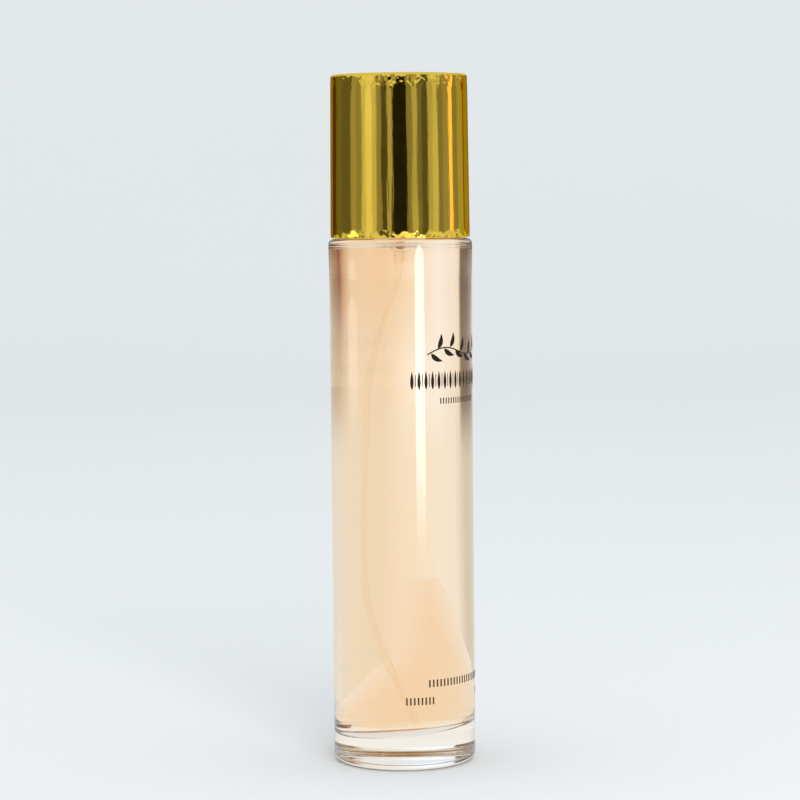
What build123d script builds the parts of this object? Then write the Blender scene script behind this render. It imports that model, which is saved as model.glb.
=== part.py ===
from build123d import *
from math import cos, radians, sin, tan
import os

# A cylindrical glass perfume bottle with a crimped spray pump and a lift-off metal cap.
# Millimetres, +Z up. The origin is the centre of the base, on the surface that it stands on.
# The nozzle sprays towards -Y.

# Bottle
BOTTLE_R = 18.5
SHOULDER_Z = 135.3
SHOULDER_EDGE = 1.45
LABEL_RECESS = 0.15
LABEL_TOP_Z = SHOULDER_Z - 10
WALL = 2.5
SHOULDER_GLASS = 1.3
FLOOR_Z = 8.35
FLOOR_TILT = 5.5
FLOOR_RISE_ANGLE = -54.0
FLOOR_CORNER = 1.8
CEILING_CORNER = 1.6
HEEL_EDGE = 2.2
PUSH_UP = 0.7
BEARING_RING_R = 13.6
NECK_R = 6.5
NECK_BORE_R = 4.4
NECK_HEIGHT = 10.5
BEAD_R = 7.35
BEAD_HEIGHT = 4.0
BEAD_EDGE = 0.5
NECK_FOOT = 0.8

# Clearances: between pieces that touch in one body, and between a moving piece and its guide
SEAT = 0.03
RUN = 0.05
LIQUID_Z = SHOULDER_Z - SHOULDER_GLASS - SEAT

# Cap
CAP_GAP = 0.25
CAP_BOTTOM_R = 17.95
CAP_TOP_R = 17.55
CAP_HEIGHT = 41.6
CAP_WALL = 1.2
CAP_ROOF = 1.5
CAP_TOP_EDGE = 0.6
CAP_LIP_EDGE = 0.25
LINER_SETBACK = 0.8
LINER_WEB = 1.2
GRIP_WALL = 1.0
LINER_STOP = 0.3
LEAD_IN = 0.8
RIBS = 6
RIB_WALL = 0.9

# Pump, from the neck upwards
NECK_TOP_Z = SHOULDER_Z + NECK_HEIGHT
GASKET_THICK = 0.9
FLANGE_R = 7.3
FLANGE_THICK = 1.2
FERRULE_R = 7.9
FERRULE_WALL = 0.4
TOWER_R = 4.65
TOWER_HEIGHT = 6.25
STEM_SEAL = 0.8
TURRET_HEIGHT = 1.5
BARREL_R = 3.8
BARREL_BORE_R = 3.0
BARREL_FLOOR_Z = SHOULDER_Z + 1.9
CAGE_R = 1.95
CAGE_LIP_R = 0.75
CAGE_BORE_R = 1.15
CAGE_LOW_Z = SHOULDER_Z - 2.6
SEAT_HOLE_R = 0.5
SEAT_LOW_Z = CAGE_LOW_Z + 0.5
SEAT_HIGH_Z = SEAT_LOW_Z + 0.7
TAIL_R = 1.3
TAIL_END_Z = SHOULDER_Z - 6
TAIL_TOP_Z = CAGE_LOW_Z - 0.9
BALL_R = 1.0
STEM_R = 1.5
STEM_BORE_R = 0.6
STEM_TOP_Z = SHOULDER_Z + 27.2
STEM_FLANGE_R = 2.3
STEM_FLANGE_THICK = 0.9
PIN_R = 1.0
PISTON_HEIGHT = 2.8
SMALL_SPRING_HEIGHT = 2.0
PLUNGER_R = 2.6
PLUNGER_HEAD = 1.7
PLUNGER_BOSS_R = 1.5

# Collar and actuator
COLLAR_R = 8.9
COLLAR_WALL = 0.45
COLLAR_TOP_Z = SHOULDER_Z + 20.6
COLLAR_MOUTH_R = 7.1
ACTUATOR_R = 6.7
SLEEVE_WALL = 0.5
ACTUATOR_LOW_Z = COLLAR_TOP_Z - 2.8
ACTUATOR_HEIGHT = 14.7
BUTTON_ROOF = 2.4
SKIRT_WALL = 0.6
SOCKET_LOW_Z = STEM_TOP_Z - 2.8
SOCKET_R = 2.6
NOZZLE_Z = STEM_TOP_Z + 1.0
NOZZLE_R = 1.9
NOZZLE_DEPTH = 3.2
SPRAY_CHANNEL_R = 0.45
SPRAY_HOLE_R = 0.15

# Dip tube: (distance from the axis, height) of the corners of its route, away from the high side
# of the floor, and the share of the shorter run that an arc takes at each corner
TUBE_R = 0.85
TUBE_BORE_R = 0.5
TUBE_TOP_Z = CAGE_LOW_Z - SEAT
TUBE_ROUTE = [(0, TUBE_TOP_Z), (0, 126.5), (5.9, 105.0), (7.4, 77.0), (7.5, 45.5), (4.9, 31.0), (-2.3, 9.8)]
ARC_SHARE = 0.45

# Springs: wire diameter, mean radius and turns
RETURN_WIRE = 0.45
RETURN_R = 2.2
RETURN_TURNS = 6.5
SMALL_WIRE = 0.3
SMALL_R = 1.6
SMALL_TURNS = 3.5

# Heights that follow from the ones above
FLANGE_LOW_Z = NECK_TOP_Z + GASKET_THICK + SEAT
FLANGE_TOP_Z = FLANGE_LOW_Z + FLANGE_THICK
TOWER_TOP_Z = FLANGE_TOP_Z + TOWER_HEIGHT
FERRULE_DECK_Z = FLANGE_TOP_Z + SEAT + FERRULE_WALL
FERRULE_TOP_Z = TOWER_TOP_Z + 2 * SEAT + STEM_SEAL + FERRULE_WALL
TURRET_LOW_Z = TOWER_TOP_Z - TURRET_HEIGHT
STEM_FLANGE_TOP_Z = TURRET_LOW_Z - RUN
STEM_FLANGE_LOW_Z = STEM_FLANGE_TOP_Z - STEM_FLANGE_THICK
PISTON_TOP_Z = STEM_FLANGE_LOW_Z - SMALL_SPRING_HEIGHT
PISTON_LOW_Z = PISTON_TOP_Z - PISTON_HEIGHT
PLUNGER_TOP_Z = PISTON_LOW_Z - RUN
PLUNGER_LOW_Z = PLUNGER_TOP_Z - PLUNGER_HEAD
PIN_LOW_Z = PLUNGER_TOP_Z - 1.2
ACTUATOR_TOP_Z = ACTUATOR_LOW_Z + ACTUATOR_HEIGHT
CAP_LOW_Z = SHOULDER_Z + CAP_GAP
CAP_TOP_Z = CAP_LOW_Z + CAP_HEIGHT
CAP_TAPER = (CAP_BOTTOM_R - CAP_TOP_R) / CAP_HEIGHT

floor_rise = Vector(cos(radians(FLOOR_RISE_ANGLE)), sin(radians(FLOOR_RISE_ANGLE)), 0)


def cap_radius(height):
    """The outside radius of the tapered cap at a height."""
    return CAP_BOTTOM_R - CAP_TAPER * (height - CAP_LOW_Z)


def outline(*points):
    """A closed face in the XZ plane through (radius, height) points."""
    with BuildSketch(Plane.XZ) as face:
        with BuildLine():
            Polyline(*points, close=True)
        make_face()
    return face.sketch


def band(inner, outer, low, high):
    """The rectangular section of a ring."""
    return outline((inner, low), (outer, low), (outer, high), (inner, high))


def inner_space(gap, top):
    """The room inside the bottle up to a height, drawn in from the glass by a gap."""
    low = FLOOR_Z - 2 * BOTTLE_R * tan(radians(FLOOR_TILT))
    ceiling = SHOULDER_Z - SHOULDER_GLASS
    radius = BOTTLE_R - WALL - gap
    tilt = radians(FLOOR_TILT)
    slope = Plane(
        origin=(0, 0, FLOOR_Z + gap),
        z_dir=floor_rise * -sin(tilt) + Vector(0, 0, cos(tilt)),
    )
    with BuildPart() as space:
        with BuildSketch(Plane.XY.offset(low)):
            Circle(radius)
        extrude(amount=ceiling - low)
        fillet(space.faces().sort_by(Axis.Z)[-1].edges(), CEILING_CORNER)
        split(bisect_by=slope, keep=Keep.TOP)
        fillet(space.faces().sort_by(Axis.Z)[0].edges(), FLOOR_CORNER)
        split(bisect_by=Plane.XY.offset(min(top, ceiling)), keep=Keep.BOTTOM)
    return space.part


def tube_path():
    """The dip tube's centre line: straight runs joined by tangent arcs."""
    points = [floor_rise * -away + Vector(0, 0, height) for away, height in TUBE_ROUTE]
    runs = [b - a for a, b in zip(points, points[1:])]
    radii = []
    for before, after in zip(runs, runs[1:]):
        reach = ARC_SHARE * min(before.length, after.length)
        radii.append(reach / tan(radians(before.get_angle(after)) / 2))
    print("dip tube arc radii", [round(radius) for radius in radii])
    with BuildLine() as path:
        FilletPolyline(*points, radius=radii)
    return path.line


def tube(radius):
    """A rod of one radius along the dip tube's centre line."""
    path = tube_path()
    with BuildPart() as rod:
        with BuildSketch(Plane(origin=path @ 0, z_dir=path % 0)):
            Circle(radius)
        sweep(path=path)
    return rod.part


def coil(wire, radius, turns, low, high):
    """A compression spring between two heights."""
    height = high - low - wire
    with BuildPart() as spring:
        with BuildLine() as helix:
            Helix(pitch=height / turns, height=height, radius=radius, center=(0, 0, low + wire / 2))
        with BuildSketch(Plane(origin=helix.line @ 0, z_dir=helix.line % 0)):
            Circle(wire / 2)
        sweep(path=helix.line, is_frenet=True)
    return spring.part


# Glass: outside turned with its base, neck and bead, then the inner space and the bore cut out
with BuildPart() as glass_bottle:
    body_r = BOTTLE_R - LABEL_RECESS
    with BuildSketch(Plane.XZ) as glass_profile:
        with BuildLine():
            push_up = ThreePointArc(
                (0, PUSH_UP), (BEARING_RING_R / 2, 0.75 * PUSH_UP), (BEARING_RING_R, 0)
            )
            Polyline(
                push_up @ 1,
                (body_r, 0),
                (body_r, LABEL_TOP_Z),
                (BOTTLE_R, LABEL_TOP_Z + 6),
                (BOTTLE_R, SHOULDER_Z),
                (NECK_R, SHOULDER_Z),
                (NECK_R, NECK_TOP_Z - BEAD_HEIGHT - (BEAD_R - NECK_R)),
                (BEAD_R, NECK_TOP_Z - BEAD_HEIGHT),
                (BEAD_R, NECK_TOP_Z),
                (0, NECK_TOP_Z),
                (0, PUSH_UP),
            )
        make_face()
        for radius, height, edge in (
            (body_r, 0, HEEL_EDGE),
            (BOTTLE_R, SHOULDER_Z, SHOULDER_EDGE),
            (NECK_R, SHOULDER_Z, NECK_FOOT),
            (BEAD_R, NECK_TOP_Z, BEAD_EDGE),
        ):
            corner = Vertex(radius, height, 0)
            fillet(glass_profile.vertices().sort_by_distance(corner)[0], edge)
    revolve(axis=Axis.Z)
    add(inner_space(0, SHOULDER_Z), mode=Mode.SUBTRACT)
    with BuildSketch(Plane.XY.offset(NECK_TOP_Z)):
        Circle(NECK_BORE_R)
    extrude(amount=-(NECK_HEIGHT + SHOULDER_GLASS + 0.5), mode=Mode.SUBTRACT)

# Liquid: fills the glass to the shoulder, around the pump's cage and tail and the dip tube
with BuildPart() as perfume_liquid:
    add(inner_space(SEAT, LIQUID_Z))
    around_pump = outline(
        (0, TAIL_END_Z - SEAT),
        (TAIL_R + SEAT, TAIL_END_Z - SEAT),
        (TAIL_R + SEAT, TAIL_TOP_Z - SEAT),
        (CAGE_R + SEAT, CAGE_LOW_Z - SEAT),
        (CAGE_R + SEAT, SHOULDER_Z),
        (0, SHOULDER_Z),
    )
    revolve(around_pump, axis=Axis.Z, mode=Mode.SUBTRACT)
    add(tube(TUBE_R + SEAT), mode=Mode.SUBTRACT)

with BuildPart() as dip_tube:
    add(tube(TUBE_R))
    add(tube(TUBE_BORE_R), mode=Mode.SUBTRACT)

with BuildPart() as neck_gasket:
    revolve(band(NECK_BORE_R + 0.2, FLANGE_R, NECK_TOP_Z + SEAT / 2, FLANGE_LOW_Z - SEAT / 2), axis=Axis.Z)

# Housing: tower, flange, barrel, ball cage and tail in one moulding
with BuildPart() as pump_housing:
    outside = outline(
        (0, TAIL_END_Z),
        (TAIL_R, TAIL_END_Z),
        (TAIL_R, TAIL_TOP_Z),
        (CAGE_R, CAGE_LOW_Z),
        (CAGE_R, BARREL_FLOOR_Z - 2.7),
        (BARREL_R, BARREL_FLOOR_Z - 0.9),
        (BARREL_R, FLANGE_LOW_Z),
        (FLANGE_R, FLANGE_LOW_Z),
        (FLANGE_R, FLANGE_TOP_Z),
        (TOWER_R, FLANGE_TOP_Z),
        (TOWER_R, TOWER_TOP_Z),
        (0, TOWER_TOP_Z),
    )
    revolve(outside, axis=Axis.Z)
    waterway = outline(
        (0, TAIL_END_Z - 1),
        (TUBE_R + SEAT, TAIL_END_Z - 1),
        (TUBE_R + SEAT, CAGE_LOW_Z),
        (SEAT_HOLE_R, CAGE_LOW_Z),
        (SEAT_HOLE_R, SEAT_LOW_Z),
        (CAGE_BORE_R, SEAT_HIGH_Z),
        (CAGE_BORE_R, BARREL_FLOOR_Z - 0.9),
        (CAGE_LIP_R, BARREL_FLOOR_Z - 0.9),
        (CAGE_LIP_R, BARREL_FLOOR_Z),
        (BARREL_BORE_R, BARREL_FLOOR_Z),
        (BARREL_BORE_R, TOWER_TOP_Z + 1),
        (0, TOWER_TOP_Z + 1),
    )
    revolve(waterway, axis=Axis.Z, mode=Mode.SUBTRACT)

with BuildPart() as pump_turret:
    turret_r = BARREL_BORE_R - SEAT
    revolve(band(STEM_R + 0.1, turret_r, TURRET_LOW_Z, TOWER_TOP_Z), axis=Axis.Z)
    chamfer(pump_turret.edges().group_by(Axis.Z)[0].sort_by(SortBy.RADIUS)[-1], 0.25)

with BuildPart() as stem_gasket:
    seal_low = TOWER_TOP_Z + SEAT
    revolve(band(STEM_R + RUN, TOWER_R - SEAT, seal_low, seal_low + STEM_SEAL), axis=Axis.Z)

# Ferrule: a drawn cup whose edge is rolled in under the bead of the neck
with BuildPart() as crimp_ferrule:
    inside_r = FERRULE_R - FERRULE_WALL
    bead_low = NECK_TOP_Z - BEAD_HEIGHT
    tower_r = TOWER_R + SEAT
    skin = outline(
        (inside_r - 0.75, bead_low - 1.15),
        (inside_r - 0.55, bead_low - 1.55),
        (FERRULE_R, bead_low - 0.3),
        (FERRULE_R, FERRULE_DECK_Z),
        (tower_r + FERRULE_WALL, FERRULE_DECK_Z),
        (tower_r + FERRULE_WALL, FERRULE_TOP_Z),
        (STEM_R + 0.25, FERRULE_TOP_Z),
        (STEM_R + 0.25, FERRULE_TOP_Z - FERRULE_WALL),
        (tower_r, FERRULE_TOP_Z - FERRULE_WALL),
        (tower_r, FERRULE_DECK_Z - FERRULE_WALL),
        (inside_r, FERRULE_DECK_Z - FERRULE_WALL),
        (inside_r, bead_low - 0.2),
    )
    revolve(skin, axis=Axis.Z)
    deck_edges = crimp_ferrule.edges().filter_by(GeomType.CIRCLE)
    outer_edges = deck_edges.filter_by(lambda edge: edge.radius > FERRULE_R - 0.01)
    fillet(outer_edges.sort_by(Axis.Z)[-1], 0.35)
    tower_edges = crimp_ferrule.edges().group_by(Axis.Z)[-1]
    fillet(tower_edges.sort_by(SortBy.RADIUS)[-1], 0.35)

# Stem: open tube above, spring flange, then the pin that runs through the piston
with BuildPart() as pump_stem:
    rod = outline(
        (0, PIN_LOW_Z),
        (PIN_R, PIN_LOW_Z),
        (PIN_R, STEM_FLANGE_LOW_Z),
        (STEM_FLANGE_R, STEM_FLANGE_LOW_Z),
        (STEM_FLANGE_R, STEM_FLANGE_TOP_Z),
        (STEM_R, STEM_FLANGE_TOP_Z),
        (STEM_R, STEM_TOP_Z),
        (0, STEM_TOP_Z),
    )
    revolve(rod, axis=Axis.Z)
    port_z = PISTON_LOW_Z + 0.5
    with BuildSketch(Plane.XY.offset(STEM_TOP_Z)):
        Circle(STEM_BORE_R)
    extrude(amount=port_z - STEM_TOP_Z, mode=Mode.SUBTRACT)
    with BuildSketch(Plane.YZ.offset(-PIN_R - 0.5)):
        with Locations((0, port_z)):
            Circle(0.25)
    extrude(amount=2 * PIN_R + 1, mode=Mode.SUBTRACT)

with BuildPart() as pump_plunger:
    head = outline(
        (0, PLUNGER_LOW_Z - 1),
        (PLUNGER_BOSS_R, PLUNGER_LOW_Z - 1),
        (PLUNGER_BOSS_R, PLUNGER_LOW_Z),
        (PLUNGER_R, PLUNGER_LOW_Z),
        (PLUNGER_R, PLUNGER_TOP_Z - 0.8),
        (PIN_R + 0.6, PLUNGER_TOP_Z),
        (PIN_R + SEAT / 2, PLUNGER_TOP_Z),
        (PIN_R + SEAT / 2, PIN_LOW_Z - SEAT),
        (0, PIN_LOW_Z - SEAT),
    )
    revolve(head, axis=Axis.Z)

# Piston: two sealing lips on a waist, and a seat that closes on the plunger
with BuildPart() as pump_piston:
    lip_r = BARREL_BORE_R - RUN
    middle_z = (PISTON_LOW_Z + PISTON_TOP_Z) / 2
    section = outline(
        (PIN_R + RUN, PISTON_LOW_Z),
        (lip_r - 0.8, PISTON_LOW_Z),
        (lip_r - 0.8, PISTON_LOW_Z + 0.8),
        (lip_r - 0.15, PISTON_LOW_Z),
        (lip_r, PISTON_LOW_Z + 0.15),
        (lip_r - 0.45, middle_z),
        (lip_r, PISTON_TOP_Z - 0.15),
        (lip_r - 0.15, PISTON_TOP_Z),
        (lip_r - 0.6, PISTON_TOP_Z - 0.6),
        (PIN_R + RUN, PISTON_TOP_Z - 0.6),
    )
    revolve(section, axis=Axis.Z)

with BuildPart() as precompression_spring:
    add(
        coil(
            SMALL_WIRE,
            SMALL_R,
            SMALL_TURNS,
            PISTON_TOP_Z - 0.6 + RUN,
            STEM_FLANGE_LOW_Z - RUN,
        )
    )

with BuildPart() as return_spring:
    add(coil(RETURN_WIRE, RETURN_R, RETURN_TURNS, BARREL_FLOOR_Z + RUN, PLUNGER_LOW_Z - RUN))

# Ball: rests on its cone, just clear of it
with BuildPart() as check_ball:
    cone = (CAGE_BORE_R - SEAT_HOLE_R) / (SEAT_HIGH_Z - SEAT_LOW_Z)
    rise = ((BALL_R + 0.01) * (1 + cone**2) ** 0.5 - SEAT_HOLE_R) / cone
    with Locations((0, 0, SEAT_LOW_Z + rise)):
        Sphere(BALL_R)

# Collar: metal skin over the crimp, held by a plastic ring on the ferrule
with BuildPart() as collar_shell:
    inside_r = COLLAR_R - COLLAR_WALL
    low_z = SHOULDER_Z + 0.45
    skin = outline(
        (inside_r, low_z),
        (COLLAR_R, low_z),
        (COLLAR_R, COLLAR_TOP_Z),
        (COLLAR_MOUTH_R, COLLAR_TOP_Z),
        (COLLAR_MOUTH_R, COLLAR_TOP_Z - COLLAR_WALL),
        (inside_r, COLLAR_TOP_Z - COLLAR_WALL),
    )
    revolve(skin, axis=Axis.Z)
    top_edges = collar_shell.edges().group_by(Axis.Z)[-1]
    fillet(top_edges.sort_by(SortBy.RADIUS)[-1], 0.4)
    fillet(collar_shell.edges().group_by(Axis.Z)[-1].sort_by(SortBy.RADIUS)[0], 0.2)

with BuildPart() as collar_liner:
    outer_r = COLLAR_R - COLLAR_WALL - SEAT
    section = outline(
        (FERRULE_R + SEAT, SHOULDER_Z + 0.9),
        (outer_r, SHOULDER_Z + 0.9),
        (outer_r, COLLAR_TOP_Z - COLLAR_WALL - SEAT),
        (COLLAR_MOUTH_R + SEAT, COLLAR_TOP_Z - COLLAR_WALL - SEAT),
        (COLLAR_MOUTH_R + SEAT, FERRULE_DECK_Z + SEAT),
        (FERRULE_R + SEAT, FERRULE_DECK_Z + SEAT),
    )
    revolve(section, axis=Axis.Z)

# Actuator: plastic core with the stem socket and spray channel, under a metal sleeve
with BuildPart() as actuator_button:
    core_r = ACTUATOR_R - SLEEVE_WALL - SEAT
    roof_z = ACTUATOR_TOP_Z - SLEEVE_WALL - SEAT
    revolve(band(0, core_r, ACTUATOR_LOW_Z, roof_z), axis=Axis.Z)
    hollow_r = core_r - SKIRT_WALL
    hollow_top = roof_z - BUTTON_ROOF
    revolve(band(0, hollow_r, ACTUATOR_LOW_Z, hollow_top), axis=Axis.Z, mode=Mode.SUBTRACT)
    with BuildSketch(Plane.XY.offset(SOCKET_LOW_Z)):
        Circle(SOCKET_R)
        with Locations((0, -core_r / 2)):
            Rectangle(2 * SOCKET_R, core_r)
        Circle(core_r - 0.05, mode=Mode.INTERSECT)
    extrude(amount=roof_z - SOCKET_LOW_Z - 0.5)
    with BuildSketch(Plane.XY.offset(SOCKET_LOW_Z)):
        Circle(STEM_R + 0.02)
    extrude(amount=STEM_TOP_Z + SEAT - SOCKET_LOW_Z, mode=Mode.SUBTRACT)
    with BuildSketch(Plane.XY.offset(STEM_TOP_Z)):
        Circle(STEM_BORE_R)
    extrude(amount=NOZZLE_Z - STEM_TOP_Z, mode=Mode.SUBTRACT)
    with BuildSketch(Plane.XZ):
        with Locations((0, NOZZLE_Z)):
            Circle(SPRAY_CHANNEL_R)
    extrude(amount=core_r, mode=Mode.SUBTRACT)
    with BuildSketch(Plane.XZ.offset(core_r - NOZZLE_DEPTH)):
        with Locations((0, NOZZLE_Z)):
            Circle(NOZZLE_R + SEAT)
    extrude(amount=NOZZLE_DEPTH + 1, mode=Mode.SUBTRACT)

with BuildPart() as actuator_sleeve:
    revolve(band(0, ACTUATOR_R, ACTUATOR_LOW_Z, ACTUATOR_TOP_Z), axis=Axis.Z)
    fillet(actuator_sleeve.edges().group_by(Axis.Z)[-1], 0.8)
    inner_r = ACTUATOR_R - SLEEVE_WALL
    inner_top = ACTUATOR_TOP_Z - SLEEVE_WALL
    revolve(band(0, inner_r, ACTUATOR_LOW_Z, inner_top), axis=Axis.Z, mode=Mode.SUBTRACT)
    with BuildSketch(Plane.XZ):
        with Locations((0, NOZZLE_Z)):
            Circle(NOZZLE_R + 0.35)
    extrude(amount=ACTUATOR_R + 1, mode=Mode.SUBTRACT)

# Nozzle insert: a cup with a dished face and the spray orifice
with BuildPart() as nozzle_insert:
    face_y = ACTUATOR_R - 0.25
    back_y = core_r - NOZZLE_DEPTH + SEAT
    with BuildSketch(Plane.XZ.offset(back_y)):
        with Locations((0, NOZZLE_Z)):
            Circle(NOZZLE_R)
    extrude(amount=face_y - back_y)
    front = nozzle_insert.edges().group_by(Axis.Y)[0]
    fillet(front, 0.2)
    with BuildSketch(Plane.XZ.offset(back_y)):
        with Locations((0, NOZZLE_Z)):
            Circle(NOZZLE_R - 0.5)
    extrude(amount=face_y - back_y - 0.7, mode=Mode.SUBTRACT)
    with BuildSketch(Plane.XZ.offset(face_y - 0.3)):
        with Locations((0, NOZZLE_Z)):
            Circle(0.45)
    extrude(amount=0.3, taper=-30, mode=Mode.SUBTRACT)
    with BuildSketch(Plane.XZ.offset(back_y)):
        with Locations((0, NOZZLE_Z)):
            Circle(SPRAY_HOLE_R)
    extrude(amount=face_y - back_y, mode=Mode.SUBTRACT)

# Cap: tapered metal shell, closed at the top
with BuildPart() as cap_shell:
    roof_z = CAP_TOP_Z - CAP_ROOF
    revolve(
        outline((0, CAP_LOW_Z), (CAP_BOTTOM_R, CAP_LOW_Z), (CAP_TOP_R, CAP_TOP_Z), (0, CAP_TOP_Z)),
        axis=Axis.Z,
    )
    fillet(cap_shell.edges().group_by(Axis.Z)[-1], CAP_TOP_EDGE)
    fillet(cap_shell.edges().group_by(Axis.Z)[0], CAP_LIP_EDGE)
    hollow = outline(
        (0, CAP_LOW_Z),
        (cap_radius(CAP_LOW_Z) - CAP_WALL, CAP_LOW_Z),
        (cap_radius(roof_z) - CAP_WALL, roof_z),
        (0, roof_z),
    )
    revolve(hollow, axis=Axis.Z, mode=Mode.SUBTRACT)

# Cap liner: a web that fills the mouth of the cap, a sleeve with a tapered lead-in that grips the
# collar, and ribs between the sleeve and the shell
with BuildPart() as cap_liner:
    low_z = CAP_LOW_Z + LINER_SETBACK
    web_z = low_z + LINER_WEB
    grip_r = COLLAR_R + RUN
    grip_top = COLLAR_TOP_Z + 1.0
    stop_r = COLLAR_R - LINER_STOP
    stop_z = COLLAR_TOP_Z + 0.2
    section = outline(
        (grip_r + LEAD_IN, low_z),
        (cap_radius(low_z) - CAP_WALL - SEAT, low_z),
        (cap_radius(web_z) - CAP_WALL - SEAT, web_z),
        (grip_r + GRIP_WALL, web_z),
        (grip_r + GRIP_WALL, grip_top),
        (stop_r, grip_top),
        (stop_r, stop_z),
        (grip_r, stop_z),
        (grip_r, web_z + LEAD_IN),
    )
    revolve(section, axis=Axis.Z)
    rib_in = grip_r + GRIP_WALL / 2
    rib_out = cap_radius(stop_z) - CAP_WALL - SEAT
    with BuildSketch(Plane.XY.offset(web_z)):
        with PolarLocations((rib_in + rib_out) / 2, RIBS):
            Rectangle(rib_out - rib_in, RIB_WALL)
    extrude(amount=stop_z - web_z)

pieces = {
    "glass_bottle": glass_bottle,
    "perfume_liquid": perfume_liquid,
    "dip_tube": dip_tube,
    "neck_gasket": neck_gasket,
    "pump_housing": pump_housing,
    "pump_turret": pump_turret,
    "stem_gasket": stem_gasket,
    "crimp_ferrule": crimp_ferrule,
    "pump_stem": pump_stem,
    "pump_plunger": pump_plunger,
    "pump_piston": pump_piston,
    "precompression_spring": precompression_spring,
    "return_spring": return_spring,
    "check_ball": check_ball,
    "collar_shell": collar_shell,
    "collar_liner": collar_liner,
    "actuator_button": actuator_button,
    "actuator_sleeve": actuator_sleeve,
    "nozzle_insert": nozzle_insert,
    "cap_shell": cap_shell,
    "cap_liner": cap_liner,
}

os.makedirs("parts", exist_ok=True)
for name, piece in pieces.items():
    piece.part.label = name
    export_step(piece.part, f"parts/{name}.step")
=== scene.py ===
import bmesh
import bpy
from math import ceil, cos, degrees, hypot, pi, radians, sin, tan
from mathutils import Matrix, Vector


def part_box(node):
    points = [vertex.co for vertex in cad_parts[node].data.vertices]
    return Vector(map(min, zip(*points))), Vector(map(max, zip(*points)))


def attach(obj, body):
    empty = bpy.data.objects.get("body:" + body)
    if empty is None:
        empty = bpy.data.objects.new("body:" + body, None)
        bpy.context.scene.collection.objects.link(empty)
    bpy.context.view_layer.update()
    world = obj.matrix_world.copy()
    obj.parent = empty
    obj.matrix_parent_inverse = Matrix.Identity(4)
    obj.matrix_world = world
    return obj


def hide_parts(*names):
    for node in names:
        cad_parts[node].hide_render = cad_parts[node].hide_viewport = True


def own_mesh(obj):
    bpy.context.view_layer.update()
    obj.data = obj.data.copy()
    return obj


# A glass perfume bottle with a mirror-gold cap. Metres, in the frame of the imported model.
# Profile points are (radius, height). The nozzle and the print face -Y.

MM = 0.001
SEGMENTS = 288
SMOOTH_ANGLE = radians(35)
BRACE = 0.03 * MM
ON_AXIS = 1e-7

# Camera, measured from the bottle's axis and base, with angles in degrees
CAMERA_AZIMUTH = -54
CAMERA_DISTANCE = 0.7233
CAMERA_HEIGHT = 0.1467
CAMERA_PITCH = 4.20
CAMERA_ROLL = -0.55
CAMERA_YAW = 0.035
CAMERA_LENS = 126.2
CAMERA_SENSOR = 36
CAMERA_CLIP = 0.01

# Bottle glass. The inner floor rises towards the camera's right.
LABEL_RECESS = 0.15 * MM
LABEL_RISE = 6 * MM
LABEL_DROP = 10 * MM
LABEL_BEND = 110 * MM
SHOULDER_DROP = 10.5 * MM
SHOULDER_EDGE = 1.45 * MM
HEEL_EDGE = 2.2 * MM
PUSH_UP = 0.7 * MM
BEARING_RING_R = 13.6 * MM
NECK_R = 6.5 * MM
NECK_BORE_R = 4.4 * MM
NECK_FOOT = 0.8 * MM
BEAD_R = 7.35 * MM
BEAD_HEIGHT = 4 * MM
BEAD_EDGE = 0.5 * MM
MOUTH_EDGE = 0.1 * MM
CEILING_CORNER = 1.6 * MM
FLOOR_CORNER = 1.8 * MM
FLOOR_Z = 8.35 * MM
FLOOR_TILT = radians(5.5)
FLOOR_RISE = Vector((cos(radians(CAMERA_AZIMUTH)), sin(radians(CAMERA_AZIMUTH)), 0))
LIQUID_SEAT = 0.03 * MM
LIQUID_GAP = 0.015 * MM
CAVITY_MARGIN = 0.05 * MM
SURFACE_MARGIN = 0.01 * MM

# Cap and collar
CAP_TAPER_R = 0.4 * MM
CAP_WALL = 1.2 * MM
CAP_ROOF = 1.5 * MM
CAP_TOP_EDGE = 0.6 * MM
CAP_LIP_EDGE = 0.25 * MM
CAP_ROLL = 3.2 * MM
CAP_ROLL_DEPTH = 0.05 * MM
CAP_ROLL_GAP = 0.1 * MM
CAP_ROLL_STEPS = 6
CAP_MOUTH_EDGE = 0.2 * MM
CAP_ROOF_CORNER = 0.5 * MM
COLLAR_WALL = 0.45 * MM
COLLAR_MOUTH_R = 7.1 * MM
COLLAR_SEAM = 0.1 * MM

# Springs: the wire and the turns
RETURN_WIRE = 0.45 * MM
RETURN_TURNS = 6.5
SMALL_WIRE = 0.3 * MM
SMALL_TURNS = 3.5

# Refractive indices, and the perfume's colour. Where two of these touch, one face carries
# the ratio of their indices and the other bends nothing.
GLASS_IOR = 1.5
PERFUME_IOR = 1.36
TUBE_IOR = 1.40
HOUSING_IOR = 1.47
PERFUME_TINT = (1.0, 0.58, 0.0)
PERFUME_DENSITY = 22

# Unevenness of the gold, mainly at the cap's rims
GOLD_DEPTH = 0.024 * MM
DENT_STRENGTH = 20
TOP_RIM_REACH = 4.6 * MM
LIP_RIM_REACH = 2.2 * MM

# Sockets of a colour Mix node
MIX_A, MIX_B, MIX_RESULT = 6, 7, 2

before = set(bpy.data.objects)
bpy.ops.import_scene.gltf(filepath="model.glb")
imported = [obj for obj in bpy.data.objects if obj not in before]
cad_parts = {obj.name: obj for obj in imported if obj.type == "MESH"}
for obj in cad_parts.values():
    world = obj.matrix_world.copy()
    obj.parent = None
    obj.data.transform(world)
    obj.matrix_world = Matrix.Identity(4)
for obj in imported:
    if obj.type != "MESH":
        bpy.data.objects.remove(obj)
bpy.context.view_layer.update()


# ---------------------------------------------------------------- mesh helpers


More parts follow.
